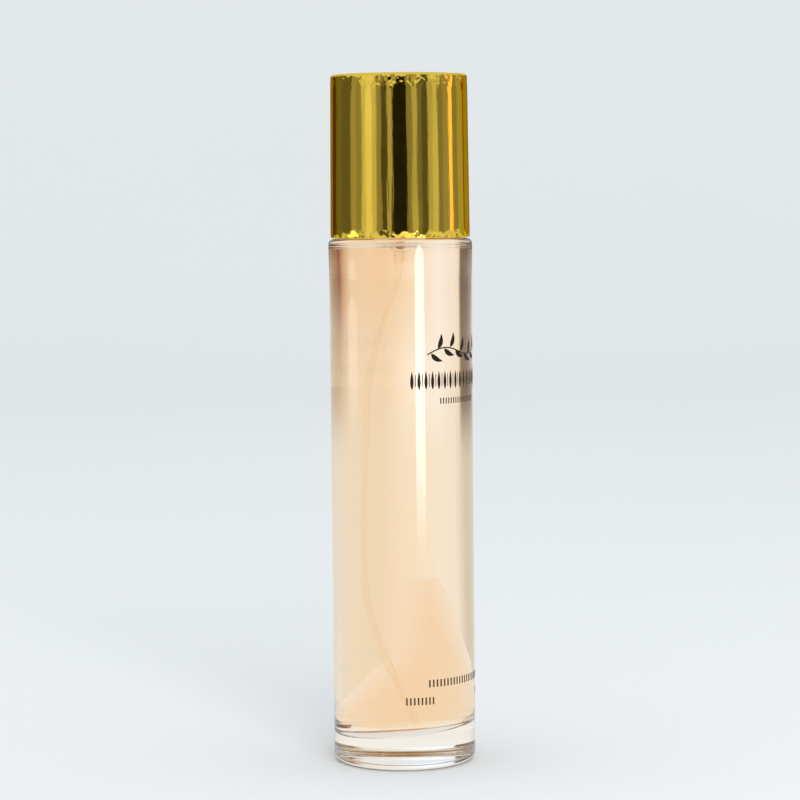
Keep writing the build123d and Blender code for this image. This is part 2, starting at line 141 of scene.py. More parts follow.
def rounded(corners, step=7):
    """A line through (radius, height, fillet) corners, with each fillet as an arc."""
    points = [Vector(c[:2]) for c in corners]
    line = [points[0]]
    for before, corner, after, spec in zip(points, points[1:], points[2:], corners[1:]):
        fillet = spec[2]
        if fillet == 0:
            line.append(corner)
            continue
        to_before = (before - corner).normalized()
        to_after = (after - corner).normalized()
        opening = to_before.angle(to_after)
        reach = fillet / tan(opening / 2)
        centre = corner + (to_before + to_after).normalized() * (fillet / sin(opening / 2))
        start = corner + to_before * reach - centre
        sweep = start.angle_signed(corner + to_after * reach - centre)
        steps = max(2, ceil(degrees(abs(sweep)) / step))
        for i in range(steps + 1):
            turn = Matrix.Rotation(-sweep * i / steps, 2)
            line.append(centre + turn @ start)
    line.append(points[-1])
    return line


def braced(line):
    """The line with a point close to each end of its long runs, so that smooth shading
    bends only at the corners."""
    points = [Vector(point) for point in line]
    out = [points[0]]
    for start, end in zip(points, points[1:]):
        run = end - start
        if run.length > 20 * BRACE:
            out.append(start + run.normalized() * BRACE)
            out.append(end - run.normalized() * BRACE)
        out.append(end)
    return out


def new_piece(name, verts, faces, materials, body, replaces=()):
    """A mesh object that rides on a body and stands for CAD nodes."""
    mesh = bpy.data.meshes.new(name)
    mesh.from_pydata([tuple(v) for v in verts], [], faces)
    bm = bmesh.new()
    bm.from_mesh(mesh)
    bmesh.ops.recalc_face_normals(bm, faces=bm.faces)
    bm.to_mesh(mesh)
    bm.free()
    for polygon in mesh.polygons:
        polygon.use_smooth = True
    mesh.set_sharp_from_angle(angle=SMOOTH_ANGLE)
    for material in materials:
        mesh.materials.append(material)
    piece = bpy.data.objects.new(name, mesh)
    bpy.context.scene.collection.objects.link(piece)
    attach(piece, body)
    if replaces:
        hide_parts(*replaces)
    return piece


def lathe(profile):
    """Vertices and faces turned from a profile: one that ends on the axis gets poles,
    any other is closed into a ring."""
    verts, faces, rings = [], [], []
    profile = braced(profile)
    for radius, height in profile:
        first = len(verts)
        if radius < ON_AXIS:
            verts.append((0, 0, height))
            rings.append([first] * SEGMENTS)
            continue
        for i in range(SEGMENTS):
            angle = 2 * pi * i / SEGMENTS
            verts.append((radius * cos(angle), radius * sin(angle), height))
        rings.append(list(range(first, first + SEGMENTS)))
    if profile[0][0] > ON_AXIS:
        rings.append(rings[0])
    for low, high in zip(rings, rings[1:]):
        for i in range(SEGMENTS):
            j = (i + 1) % SEGMENTS
            face = dict.fromkeys((low[i], low[j], high[j], high[i]))
            faces.append(tuple(face))
    return verts, faces


def spring(name, wire, turns, body):
    """A coil of round wire that fills its CAD node's box."""
    low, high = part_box(name)
    radius = high.x - wire / 2
    steps_per_turn, sides = 28, 10
    steps = int(turns * steps_per_turn)
    bottom = low.z + wire / 2
    rise = high.z - low.z - wire
    verts, faces = [], []
    for i in range(steps + 1):
        angle = 2 * pi * turns * i / steps
        out = Vector((cos(angle), sin(angle), 0))
        centre = out * radius + Vector((0, 0, bottom + rise * i / steps))
        for k in range(sides):
            a = 2 * pi * k / sides
            verts.append(centre + out * (wire / 2 * cos(a)) + Vector((0, 0, wire / 2 * sin(a))))
    for i in range(steps):
        for k in range(sides):
            m = (k + 1) % sides
            a, b = i * sides, (i + 1) * sides
            faces.append((a + k, a + m, b + m, b + k))
    faces.append(tuple(range(sides)))
    faces.append(tuple(range(steps * sides, steps * sides + sides)))
    return new_piece(name, verts, faces, [SPRING_STEEL], body, (name,))


# ---------------------------------------------------------------- material helpers


def shader(name, colour, roughness, metallic=0.0, **sockets):
    """A material with one Principled shader, and its nodes and links to build on."""
    material = bpy.data.materials.new(name)
    material.use_nodes = True
    nodes = material.node_tree.nodes
    principled = nodes["Principled BSDF"]
    principled.inputs["Base Color"].default_value = (*colour, 1)
    principled.inputs["Roughness"].default_value = roughness
    principled.inputs["Metallic"].default_value = metallic
    for socket, value in sockets.items():
        principled.inputs[socket.replace("_", " ")].default_value = value
    return material, principled


def noise(material, scale, detail=3.0, stretch=(1, 1, 1)):
    """A noise texture in object space; stretch squeezes it along X, Y or Z."""
    nodes, links = material.node_tree.nodes, material.node_tree.links
    place = nodes.new("ShaderNodeTexCoord")
    mapping = nodes.new("ShaderNodeMapping")
    mapping.inputs["Scale"].default_value = stretch
    texture = nodes.new("ShaderNodeTexNoise")
    texture.inputs["Scale"].default_value = scale
    texture.inputs["Detail"].default_value = detail
    links.new(place.outputs["Object"], mapping.inputs["Vector"])
    links.new(mapping.outputs["Vector"], texture.inputs["Vector"])
    return texture.outputs["Fac"]


def spread(material, value, low, high):
    """Maps a 0.3 to 0.7 noise value onto a range."""
    node = material.node_tree.nodes.new("ShaderNodeMapRange")
    node.inputs["From Min"].default_value = 0.3
    node.inputs["From Max"].default_value = 0.7
    node.inputs["To Min"].default_value = low
    node.inputs["To Max"].default_value = high
    material.node_tree.links.new(value, node.inputs["Value"])
    return node.outputs["Result"]


def vary_roughness(material, principled, value, low, high):
    """Moves the roughness between two values."""
    result = spread(material, value, low, high)
    material.node_tree.links.new(result, principled.inputs["Roughness"])


def vary_colour(material, principled, value, dark, light):
    """Blends the base colour between two colours."""
    mix = material.node_tree.nodes.new("ShaderNodeMix")
    mix.data_type = "RGBA"
    mix.inputs[MIX_A].default_value = (*dark, 1)
    mix.inputs[MIX_B].default_value = (*light, 1)
    material.node_tree.links.new(spread(material, value, 0, 1), mix.inputs["Factor"])
    material.node_tree.links.new(mix.outputs[MIX_RESULT], principled.inputs["Base Color"])


def bump(material, principled, value, depth):
    """Raises the surface by a depth where the value is 1."""
    node = material.node_tree.nodes.new("ShaderNodeBump")
    node.inputs["Strength"].default_value = 1.0
    node.inputs["Distance"].default_value = depth
    material.node_tree.links.new(value, node.inputs["Height"])
    material.node_tree.links.new(node.outputs["Normal"], principled.inputs["Normal"])


# ---------------------------------------------------------------- materials


def clear_glass(name, ior):
    """Flint glass, with the faint waviness that moulding leaves."""
    material, principled = shader(name, (1, 1, 1), 0.0, Transmission_Weight=1.0, IOR=ior)
    bump(material, principled, noise(material, 60, 1.0, (1, 1, 0.15)), 0.0012 * MM)
    return material


def perfume(name, ior):
    """Peach perfume: its colour is in its depth, so it deepens where more of it is seen."""
    material, principled = shader(name, (1, 1, 1), 0.0, Transmission_Weight=1.0, IOR=ior)
    nodes, links = material.node_tree.nodes, material.node_tree.links
    depth = nodes.new("ShaderNodeVolumeAbsorption")
    depth.inputs["Color"].default_value = (*PERFUME_TINT, 1)
    depth.inputs["Density"].default_value = PERFUME_DENSITY
    links.new(depth.outputs["Volume"], nodes["Material Output"].inputs["Volume"])
    return material


def mirror_gold(name, rims=()):
    """Gold-tinted polished aluminium, with fine handling haze and drawing marks along Z.
    Towards each rim, given as (height, distance up to where it starts), it is dented."""
    material, principled = shader(name, (0.78, 0.55, 0.07), 0.06, 1.0)
    principled.inputs["Specular Tint"].default_value = (0.95, 0.75, 0.25, 1)
    vary_roughness(material, principled, noise(material, 260, 4.0), 0.045, 0.085)
    drift = noise(material, 35, 2.0)
    vary_colour(material, principled, drift, (0.74, 0.51, 0.06), (0.81, 0.58, 0.08))
    nodes, links = material.node_tree.nodes, material.node_tree.links
    height = noise(material, 900, 4.0, (1, 1, 0.05))
    place = nodes.new("ShaderNodeTexCoord")
    split = nodes.new("ShaderNodeSeparateXYZ")
    links.new(place.outputs["Object"], split.inputs["Vector"])
    dents = nodes.new("ShaderNodeMath")
    dents.operation = "SUBTRACT"
    dents.inputs[1].default_value = 0.5
    links.new(noise(material, 420, 1.6, (1, 1, 0.8)), dents.inputs[0])
    for rim, reach in rims:
        near = nodes.new("ShaderNodeMapRange")
        near.inputs["From Min"].default_value = rim + reach
        near.inputs["From Max"].default_value = rim
        near.inputs["To Max"].default_value = DENT_STRENGTH
        links.new(split.outputs["Z"], near.inputs["Value"])
        add = nodes.new("ShaderNodeMath")
        add.operation = "MULTIPLY_ADD"
        links.new(near.outputs["Result"], add.inputs[0])
        links.new(dents.outputs["Value"], add.inputs[1])
        links.new(height, add.inputs[2])
        height = add.outputs["Value"]
    bump(material, principled, height, GOLD_DEPTH)
    return material


def moulded_plastic(name, dark, light, roughness, grain=900, depth=0.01):
    """An opaque moulded plastic: slight colour drift, satin haze and a fine spark grain."""
    material, principled = shader(name, light, roughness)
    vary_colour(material, principled, noise(material, 60, 2.0), dark, light)
    haze = noise(material, grain / 3)
    vary_roughness(material, principled, haze, roughness * 0.8, roughness * 1.25)
    bump(material, principled, noise(material, grain, 4.0), depth * MM)
    return material


def natural_plastic(name, roughness, ior):
    """Uncoloured plastic standing in perfume: clear with a slight milkiness."""
    material, principled = shader(
        name, (0.99, 0.97, 0.94), roughness, Transmission_Weight=1.0, IOR=ior / PERFUME_IOR
    )
    haze = noise(material, 500, 2.0)
    vary_roughness(material, principled, haze, roughness * 0.6, roughness * 1.6)
    return material


def bare_metal(name, dark, light, roughness, stretch=(1, 1, 6)):
    """Drawn or rolled metal with marks along its length."""
    material, principled = shader(name, light, roughness, 1.0)
    vary_colour(material, principled, noise(material, 80, 2.0), dark, light)
    marks = noise(material, 400, 3.0, stretch)
    vary_roughness(material, principled, marks, roughness * 0.6, roughness * 1.5)
    bump(material, principled, marks, 0.004 * MM)
    return material


def screen_ink(name, thin, thick):
    """Dark screen-print ink, slightly uneven in thickness."""
    material, principled = shader(name, thick, 0.5, Specular_IOR_Level=0.15)
    vary_colour(material, principled, noise(material, 900, 3.0), thick, thin)
    bump(material, principled, noise(material, 2500, 2.0), 0.004 * MM)
    return material


GLASS = clear_glass("flint_glass", GLASS_IOR)
WETTED_GLASS = clear_glass("flint_glass_wetted", GLASS_IOR / PERFUME_IOR)
PERFUME = perfume("perfume_body", 1.0)
PERFUME_SURFACE = perfume("perfume_surface", PERFUME_IOR)
GOLD = mirror_gold("gold_aluminium")
CAP_BOTTOM, CAP_TOP = (corner.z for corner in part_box("cap_shell"))
CAP_GOLD = mirror_gold(
    "cap_gold_aluminium", [(CAP_TOP, -TOP_RIM_REACH), (CAP_BOTTOM, LIP_RIM_REACH)]
)
INK = screen_ink("print_ink", (0.022, 0.012, 0.005), (0.007, 0.004, 0.002))
FINE_INK = screen_ink("print_fine_ink", (0.10, 0.055, 0.02), (0.06, 0.03, 0.012))
SPRING_STEEL = bare_metal("spring_steel", (0.45, 0.45, 0.46), (0.62, 0.62, 0.63), 0.22)

# Dark and light colour of the pump's white plastics
MILKY = ((0.82, 0.82, 0.8), (0.9, 0.9, 0.89))
BRIGHT_MILKY = ((0.84, 0.84, 0.83), (0.91, 0.91, 0.9))
DULL_MILKY = ((0.8, 0.8, 0.78), (0.88, 0.88, 0.87))

NODE_MATERIALS = {
    "dip_tube": natural_plastic("dip_tube_plastic", 0.08, TUBE_IOR),
    "neck_gasket": moulded_plastic(
        "gasket_foam", (0.7, 0.7, 0.68), (0.82, 0.82, 0.8), 0.6, 600, 0.03
    ),
    "pump_housing": natural_plastic("housing_polypropylene", 0.22, HOUSING_IOR),
    "pump_turret": moulded_plastic("turret_acetal", *MILKY, 0.3),
    "stem_gasket": moulded_plastic(
        "stem_rubber", (0.03, 0.03, 0.03), (0.05, 0.05, 0.05), 0.55, 700, 0.02
    ),
    "crimp_ferrule": bare_metal(
        "ferrule_aluminium", (0.72, 0.73, 0.75), (0.86, 0.87, 0.88), 0.2
    ),
    "pump_stem": moulded_plastic("stem_acetal", *BRIGHT_MILKY, 0.28),
    "pump_plunger": moulded_plastic("plunger_acetal", *MILKY, 0.3),
    "pump_piston": moulded_plastic(
        "piston_polyethylene", (0.86, 0.86, 0.84), (0.92, 0.92, 0.9), 0.4
    ),
    "check_ball": bare_metal(
        "ball_steel", (0.6, 0.6, 0.61), (0.72, 0.72, 0.73), 0.1, (1, 1, 1)
    ),
    "collar_liner": moulded_plastic("collar_liner_plastic", *DULL_MILKY, 0.4),
    "actuator_button": moulded_plastic("button_polypropylene", *MILKY, 0.35),
    "actuator_sleeve": GOLD,
    "nozzle_insert": moulded_plastic(
        "nozzle_acetal", (0.84, 0.84, 0.83), (0.92, 0.92, 0.91), 0.28
    ),
    "cap_liner": moulded_plastic("cap_liner_plastic", *DULL_MILKY, 0.4),
}


def dress_cad_nodes():
    """Gives each carried-over CAD node its material."""
    for node, material in NODE_MATERIALS.items():
        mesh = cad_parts[node].data
        mesh.materials.clear()
        mesh.materials.append(material)


# ---------------------------------------------------------------- bottle


def in_cavity(point, inner_r):
    """Whether a point lies on the inside of the bottle, or on the liquid."""
    return hypot(point[0], point[1]) < inner_r + CAVITY_MARGIN and point[2] > 2 * PUSH_UP


def tilted(verts, inner_r):
    """The points, with the inner floor and its corner lifted along the floor's slope."""
    slope = tan(FLOOR_TILT)
    out = []
    for v in verts:
        point = Vector(v)
        if in_cavity(point, inner_r) and point.z < FLOOR_Z + 2 * FLOOR_CORNER:
            point.z += slope * point.dot(FLOOR_RISE)
        out.append(point)
    return out


def cavity(radius, floor_z, ceiling_z):
    """The line of the inner space from the middle of its floor to the middle of its ceiling."""
    corners = [
        (0, floor_z, 0),
        (radius, floor_z, FLOOR_CORNER),
        (radius, ceiling_z, CEILING_CORNER),
        (0, ceiling_z, 0),
    ]
    return rounded(corners, step=5)


def glass_bottle():
    """Outside, heel, shoulder, neck and bead, then the bore and the wetted inside."""
    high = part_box("glass_bottle")[1]
    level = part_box("perfume_liquid")[1]
    inner_r = level.x + LIQUID_SEAT
    outer_r = high.x
    body_r = outer_r - LABEL_RECESS
    shoulder_z = high.z - SHOULDER_DROP
    label_top = shoulder_z - LABEL_DROP
    ceiling_z = level.z + LIQUID_SEAT
    base = [(BEARING_RING_R * i / 8, PUSH_UP * (1 - (i / 8) ** 2)) for i in range(8)]
    outside = rounded(
        [
            (BEARING_RING_R, 0, 0),
            (body_r, 0, HEEL_EDGE),
            (body_r, label_top, LABEL_BEND),
            (outer_r, label_top + LABEL_RISE, LABEL_BEND),
            (outer_r, shoulder_z, SHOULDER_EDGE),
            (NECK_R, shoulder_z, NECK_FOOT),
            (NECK_R, high.z - BEAD_HEIGHT - (BEAD_R - NECK_R), 0),
            (BEAD_R, high.z - BEAD_HEIGHT, 0),
            (BEAD_R, high.z, BEAD_EDGE),
            (NECK_BORE_R, high.z, MOUTH_EDGE),
            (NECK_BORE_R, ceiling_z, 0),
        ]
    )
    inside = cavity(inner_r, FLOOR_Z, ceiling_z)[-2::-1]
    verts, faces = lathe(base + outside + inside)
    piece = new_piece(
        "bottle_glass",
        tilted(verts, inner_r),
        faces,
        [GLASS, WETTED_GLASS],
        "bottle",
        ("glass_bottle",),
    )
    for polygon in piece.data.polygons:
        wet = polygon.center.z < ceiling_z + LIQUID_SEAT and in_cavity(polygon.center, inner_r)
        polygon.material_index = int(wet)


def perfume_body():
    """The liquid, a hair inside the glass. It stands to the shoulder, with a free surface
    in the bore."""
    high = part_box("perfume_liquid")[1]
    inner_r = high.x + LIQUID_SEAT
    line = cavity(inner_r - LIQUID_GAP, FLOOR_Z + LIQUID_GAP, high.z + LIQUID_SEAT - LIQUID_GAP)
    line.insert(-1, Vector((NECK_BORE_R, line[-1].y)))
    verts, faces = lathe(line)
    piece = new_piece(
        "perfume",
        tilted(verts, inner_r),
        faces,
        [PERFUME, PERFUME_SURFACE],
        "bottle",
        ("perfume_liquid",),
    )
    for polygon in piece.data.polygons:
        in_bore = hypot(polygon.center.x, polygon.center.y) < NECK_BORE_R
        polygon.material_index = int(in_bore and polygon.center.z > high.z - SURFACE_MARGIN)


# ---------------------------------------------------------------- cap and collar


def gold_cap():
    """Tapered shell whose wall rolls in slightly towards the top edge and the lip.
    Only its upright faces are dented at the rims."""
    low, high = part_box("cap_shell")
    lip_r = high.x
    height = high.z - low.z

    def wall_r(z):
        return lip_r - CAP_TAPER_R * (z - low.z) / height

    corners = [
        (0, high.z, 0),
        (wall_r(high.z) - CAP_ROLL_DEPTH, high.z, CAP_TOP_EDGE),
    ]
    for i in range(1, CAP_ROLL_STEPS + 1):
        share = i / CAP_ROLL_STEPS
        z = high.z - CAP_TOP_EDGE - CAP_ROLL * share
        corners.append((wall_r(z) - CAP_ROLL_DEPTH * (1 - share) ** 2, z, 0))
    for i in range(CAP_ROLL_STEPS + 1):
        share = i / CAP_ROLL_STEPS
        z = low.z + CAP_LIP_EDGE + CAP_ROLL / 2 * (1 - share) + CAP_ROLL_GAP
        corners.append((wall_r(z) - CAP_ROLL_DEPTH * share**2, z, 0))
    roof_z = high.z - CAP_ROOF
    corners += [
        (lip_r - CAP_ROLL_DEPTH, low.z, CAP_LIP_EDGE),
        (lip_r - CAP_WALL, low.z, CAP_MOUTH_EDGE),
        (wall_r(roof_z) - CAP_WALL, roof_z, CAP_ROOF_CORNER),
        (0, roof_z, 0),
    ]
    verts, faces = lathe(rounded(corners))
    gold = [CAP_GOLD, GOLD]
    piece = new_piece("cap_gold_shell", verts, faces, gold, "cap", ("cap_shell",))
    for polygon in piece.data.polygons:
        polygon.material_index = int(abs(polygon.normal.z) > 0.9)


def gold_collar():
    """The collar's metal skin: a short tube with an in-turned top."""
    low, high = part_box("collar_shell")
    outer, inner = high.x, high.x - COLLAR_WALL
    middle = (low.z + high.z) / 2
    ring = rounded(
        [
            (inner, middle, 0),
            (inner, low.z, 0.1 * MM),
            (outer, low.z, 0.15 * MM),
            (outer, high.z, 0.5 * MM),
            (COLLAR_MOUTH_R, high.z, 0.2 * MM),
            (COLLAR_MOUTH_R, high.z - COLLAR_WALL, 0.1 * MM),
            (inner, high.z - COLLAR_WALL, 0.1 * MM),
            (inner, middle + COLLAR_SEAM, 0),
        ]
    )
    verts, faces = lathe(ring)
    new_piece("collar_gold", verts, faces, [GOLD], "bottle", ("collar_shell",))


def pump_springs():
    """Both springs as real coils."""
    coil = spring("return_spring", RETURN_WIRE, RETURN_TURNS, "bottle")
    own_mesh(coil)
    coil = spring("precompression_spring", SMALL_WIRE, SMALL_TURNS, "stem")
    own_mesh(coil)


# ---------------------------------------------------------------- print

# The ink starts a hair inside the glass and stands proud of it.
INK_SINK = 0.01 * MM
INK_STAND = 0.025 * MM

# The ornament is drawn in millimetres. A dash takes this share of its pitch.
STEM_WIDTH = 0.32
SPRIG_LEAVES = 11
LEAF_TIP = 0.06
HAIRLINE = 0.2
DASH_SHARE = 0.42


def ribbon(path, widths):
    """Sections of a flat stroke: a point on each side of the path at every step."""
    sections = []
    for i, (s, z) in enumerate(path):
        before, after = path[max(i - 1, 0)], path[min(i + 1, len(path) - 1)]
        ds, dz = after[0] - before[0], after[1] - before[1]
        length = hypot(ds, dz)
        half = widths[i] / 2
        left = (s - dz / length * half, z + ds / length * half)
        right = (s + dz / length * half, z - ds / length * half)
        sections.append((left, right))
    return sections


def ink_piece(name, strokes, ink=INK):
    """Strokes laid on the label's cylinder. A point is (distance round from -Y, height),
    in mm."""
    surface_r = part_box("glass_bottle")[1].x - LABEL_RECESS
    verts, faces = [], []

    def on_glass(point, radius):
        angle = point[0] * MM / surface_r
        return (radius * sin(angle), -radius * cos(angle), point[1] * MM)

    for path, widths in strokes:
        first = len(verts)
        sections = ribbon(path, widths)
        for left, right in sections:
            for point, radius in (
                (left, surface_r - INK_SINK),
                (right, surface_r - INK_SINK),
                (right, surface_r + INK_STAND),
                (left, surface_r + INK_STAND),
            ):
                verts.append(on_glass(point, radius))
        for i in range(len(sections) - 1):
            a, b = first + 4 * i, first + 4 * (i + 1)
            for k in range(4):
                m = (k + 1) % 4
                faces.append((a + k, a + m, b + m, b + k))
        last = first + 4 * (len(sections) - 1)
        faces.append((first, first + 1, first + 2, first + 3))
        faces.append((last, last + 1, last + 2, last + 3))
    new_piece(name, verts, faces, [ink], "bottle")


def upright(s, centre_z, height, width):
    """A straight upright stroke."""
    low = centre_z - height / 2
    return [(s, low + height * i / 2) for i in range(3)], [width] * 3


def leaf(base, direction, length, width, bend=0.5):
    """A pointed leaf that bends back by an angle."""
    steps = 10
    path, widths = [], []
    for i in range(steps + 1):
        share = i / steps
        angle = direction + bend * (share - 0.5)
        along = length * share
        path.append((base[0] + along * cos(angle), base[1] + along * sin(angle)))
        widths.append(LEAF_TIP + width * sin(pi * share**0.8))
    return path, widths


def sprig(centre_z, half_width):
    """A leafy spray along a waving stem."""
    steps = 60

    def stem(share):
        sway = 1.3 * sin(2.2 * pi * share)
        climb = 1.6 * (share - 0.5)
        return (half_width * (2 * share - 1), centre_z + sway + climb)

    strokes = [([stem(i / steps) for i in range(steps + 1)], [STEM_WIDTH] * (steps + 1))]
    for i in range(SPRIG_LEAVES):
        share = (i + 0.5) / SPRIG_LEAVES
        s, z = stem(share)
        side = 1 if i % 2 else -1
        direction = side * (0.95 - 0.25 * share) + 0.15
        base = (s + 0.25 * cos(direction), z + 0.3 * sin(direction))
        strokes.append(leaf(base, direction, 3.8, 1.25))
    return strokes


def leaf_row(centre_z, half_width, height, count):
    """Slender upright leaves with a fine line between each pair."""
    strokes = []
    pitch = 2 * half_width / count
    for i in range(count):
        s = pitch * (i + 0.5) - half_width
        strokes.append(leaf((s, centre_z - height / 2), pi / 2, height, 0.8, bend=0))
        strokes.append(upright(s + pitch / 2, centre_z, 0.7 * height, HAIRLINE))
    return strokes


def dash_row(centre_z, left, right, height, pitch):
    """Short fine dashes, like a line of stitching."""
    count = round((right - left) / pitch)
    strokes = []
    for i in range(count):
        s = left + (i + 0.5) * (right - left) / count
        strokes.append(upright(s, centre_z, height, pitch * DASH_SHARE))
    return strokes


def front_print():
    """A plain generic ornament: a sprig, a row of leaves and rows of dashes."""
    ink_piece("print_sprig", sprig(107.0, 10.6))
    ink_piece("print_leaves", leaf_row(99.7, 15.6, 4.6, 17))
    ink_piece("print_dashes", dash_row(94.4, -7.3, 7.3, 1.5, 0.85), FINE_INK)
    ink_piece("print_low_dashes", dash_row(22.4, -11.2, 11.2, 1.9, 1.05), FINE_INK)
    low_marks = dash_row(18.0, -17.2, -9.2, 1.9, 1.0) + dash_row(18.0, 9.2, 17.2, 1.9, 1.0)
    ink_piece("print_low_marks", low_marks, FINE_INK)


# ---------------------------------------------------------------- studio

# The white of the room, and the reach of the cards and the backdrop that stand in it
ROOM_WHITE = (0.892, 0.911, 0.92)
STAGE_R = 1.4
STAGE_TOP = 0.34
STREAK_R = 0.42

# The heights between which the foot of a card fades in
BAND_LOW = 0.04
BAND_FULL = 0.11

# The backdrop: a table that lies between the bottle and the floor, and a wall that
# reaches this many degrees to each side. Its colour ramps end at this sine of the angle
# from straight behind, and its colours change over these lengths.
TABLE_Z = -0.05 * MM
FLOOR_DROP = -0.1 * MM
WALL_SIDE = 95
RAMP_SPAN = 0.9
PAPER_FADE = 0.65
FOOT_FADE = 0.1

# The height that the light aims at, and the bounces that light guided by glass needs
LIGHT_AIM = 0.08
LIGHT_BOUNCES = 64

# Colours behind the bottle, as (degrees to the right of straight behind, colour):
# the paper near it, the foot of the room beyond the paper, and the room higher up,
# with a dark doorway at each side.
PAPER = [
    (-51, (0.62, 0.64, 0.55)),
    (-37, (0.68, 0.66, 0.62)),
    (-26, (0.93, 0.98, 1.02)),
    (-15, (0.94, 1.03, 1.12)),
    (0, (0.93, 0.97, 1.02)),
    (8, (0.88, 0.90, 0.86)),
    (39, (0.84, 0.87, 0.86)),
    (51, (0.80, 0.82, 0.80)),
]
ROOM_FOOT = [
    (-51, (0.14, 0.06, 0.0)),
    (-41, (0.13, 0.07, 0.01)),
    (-34, (0.20, 0.15, 0.08)),
    (-31, (0.92, 0.92, 0.88)),
    (-16, (0.99, 1.12, 1.32)),
    (-3, (0.97, 1.06, 1.16)),
    (6, (0.88, 0.88, 0.84)),
    (24, (0.88, 0.86, 0.80)),
    (31, (0.76, 0.68, 0.58)),
    (39, (0.60, 0.53, 0.41)),
    (51, (0.55, 0.46, 0.32)),
]
ROOM = [
    (-51, (0.05, 0.01, 0.0)),
    (-41, (0.06, 0.035, 0.01)),
    (-34, (0.10, 0.06, 0.02)),
    (-31, (0.92, 0.90, 0.92)),
    (-16, (0.99, 1.10, 1.30)),
    (-3, (0.95, 0.93, 0.87)),
    (6, (0.90, 0.81, 0.68)),
    (24, (0.86, 0.77, 0.62)),
    (31, (0.60, 0.38, 0.22)),
    (36, (0.22, 0.04, 0.01)),
    (41, (0.30, 0.12, 0.03)),
    (51, (0.30, 0.17, 0.02)),
]

# The bottle's own peach shadow on the paper, as (distance, left edge, right edge), with
# the edges in degrees to the right of straight behind
SHADOW = [
    (0.335, -9, -7),
    (0.283, -14.5, -4),
    (0.153, -33, 1),
    (0.140, -38, 5),
    (0.076, -55, 25),
    (0.050, -60, 60),
    (0.022, -60, 60),
]
SHADOW_TINT = (0.91, 0.86, 0.77)
SHADOW_SOFTNESS = 5
SHADOW_LAYERS = 5


def around(azimuth, distance, height):
    """A point round the bottle, with the azimuth in degrees from the camera's side."""
    angle = radians(CAMERA_AZIMUTH + azimuth)
    return Vector((distance * sin(angle), -distance * cos(angle), height))


def stage_mesh(name, verts, faces, material):
    """A mesh of the studio that is no part of the object."""
    mesh = bpy.data.meshes.new(name)
    mesh.from_pydata([tuple(v) for v in verts], [], faces)
    mesh.materials.append(material)
    item = bpy.data.objects.new(name, mesh)
    bpy.context.scene.collection.objects.link(item)
    return item


def glow(name, colour=(1, 1, 1)):
    """A material that only gives off light."""
    material = bpy.data.materials.new(name)
    material.use_nodes = True
    nodes, links = material.node_tree.nodes, material.node_tree.links
    nodes.clear()
    emission = nodes.new("ShaderNodeEmission")
    emission.inputs["Color"].default_value = (*colour, 1)
    emission.inputs["Strength"].default_value = 1.0
    output = nodes.new("ShaderNodeOutputMaterial")
    links.new(emission.outputs["Emission"], output.inputs["Surface"])
    return material


def only_in_glass(item, glossy=True, transmission=True):
    """Hides a studio card from everything but reflections or refractions."""
    item.visible_camera = False
    item.visible_diffuse = False
    item.visible_shadow = False
    item.visible_volume_scatter = False
    item.visible_glossy = glossy
    item.visible_transmission = transmission


def fading_glow(name, colour, fade_from, fade_to):
    """Light that goes from the room's own colour to another between two heights."""
    material = glow(name)
    nodes, links = material.node_tree.nodes, material.node_tree.links
    place = nodes.new("ShaderNodeTexCoord")
    split = nodes.new("ShaderNodeSeparateXYZ")
    fade = nodes.new("ShaderNodeMapRange")
    fade.interpolation_type = "SMOOTHSTEP"
    fade.inputs["From Min"].default_value = fade_from
    fade.inputs["From Max"].default_value = fade_to
    mix = nodes.new("ShaderNodeMix")
    mix.data_type = "RGBA"
    mix.inputs[MIX_A].default_value = (*ROOM_WHITE, 1)
    mix.inputs[MIX_B].default_value = (*colour, 1)
    links.new(place.outputs["Object"], split.inputs["Vector"])
    links.new(split.outputs["Z"], fade.inputs["Value"])
    links.new(fade.outputs["Result"], mix.inputs["Factor"])
    links.new(mix.outputs[MIX_RESULT], nodes["Emission"].inputs["Color"])
    return material


def card(name, azimuth, width, colour):
    """An upright card round the bottle that shows only in reflections. Its foot fades out."""
    steps = max(1, ceil(width / 4))
    verts, faces = [], []
    for i in range(steps + 1):
        at = azimuth + width * (i / steps - 0.5)
        verts += [around(at, STAGE_R, BAND_LOW), around(at, STAGE_R, STAGE_TOP)]
    for i in range(steps):
        faces.append((2 * i, 2 * i + 2, 2 * i + 3, 2 * i + 1))
    item = stage_mesh(name, verts, faces, fading_glow(name, colour, BAND_LOW, BAND_FULL))
    only_in_glass(item, transmission=False)


def streak_card(name, azimuth, width, low, high, full, strength):
    """A narrow light with a pointed top, whose reflection runs down the glass."""
    steps = 48
    verts, faces = [], []
    for i in range(steps + 1):
        share = i / steps
        width_here = width * min(1, 10 * share) ** 0.5
        for side in (-0.5, 0.5):
            at = azimuth + width_here * side
            verts.append(around(at, STREAK_R, high + (low - high) * share))
    for i in range(steps):
        faces.append((2 * i, 2 * i + 1, 2 * i + 3, 2 * i + 2))
    colour = (strength, strength, strength)
    item = stage_mesh(name, verts, faces, fading_glow(name, colour, low, full))
    only_in_glass(item, transmission=False)


def colour_ramp(nodes, stops):
    """A ramp over the sine of the angle from straight behind."""
    node = nodes.new("ShaderNodeValToRGB")
    elements = node.color_ramp.elements
    places = [0.5 + 0.5 * sin(radians(angle)) / RAMP_SPAN for angle, colour in stops]
    elements[0].position = places[0]
    elements[1].position = places[-1]
    elements[0].color = (*stops[0][1], 1)
    elements[1].color = (*stops[-1][1], 1)
    for place, (angle, colour) in list(zip(places, stops))[1:-1]:
        elements.new(place).color = (*colour, 1)
    return node


